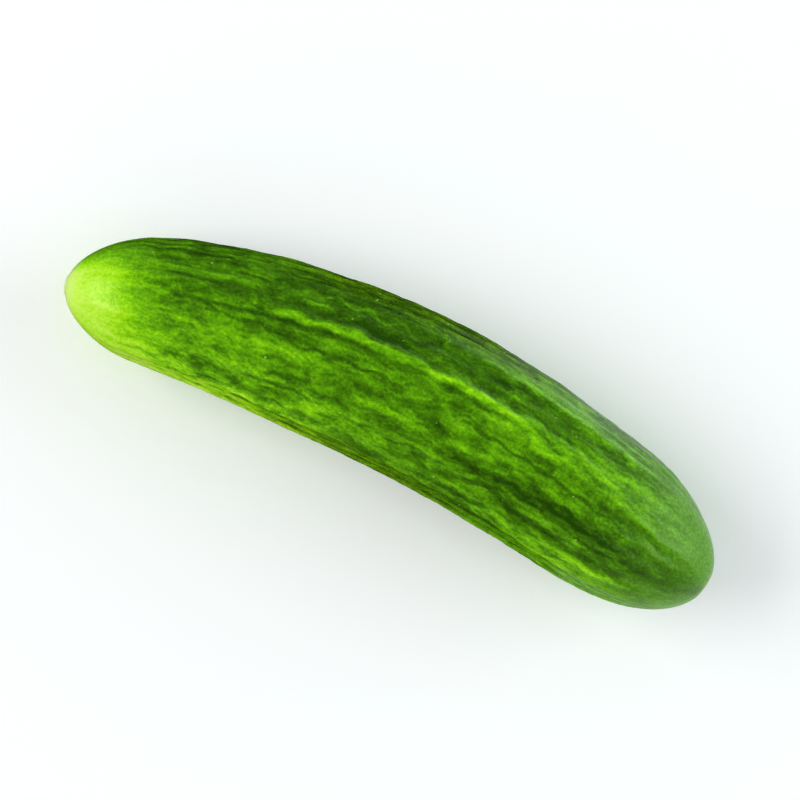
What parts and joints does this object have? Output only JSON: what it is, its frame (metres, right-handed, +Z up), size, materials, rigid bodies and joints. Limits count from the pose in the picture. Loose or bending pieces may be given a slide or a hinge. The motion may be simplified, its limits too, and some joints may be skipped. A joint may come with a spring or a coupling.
{
  "type": "mini cucumber",
  "caption": "Slim, slightly bowed mini cucumber with ribbed, wrinkled green skin, a blunt pale blossom end and a rounded dark stem end, lying on its belly.",
  "frame": {"origin": "middle of the fruit's footprint, on the surface that its belly rests on", "axes": "+X along the fruit from the blossom end to the stem end, +Y to the side that the bow swells towards, +Z up"},
  "size_m": [0.1302, 0.0346, 0.03],
  "materials": {
    "cucumber_skin": "waxy satin plant skin, dark green with lime veins, paling to yellow-green at the blossom end"
  },
  "bodies": {
    "root": {"cucumber": "cucumber_skin"}
  },
  "joints": []
}
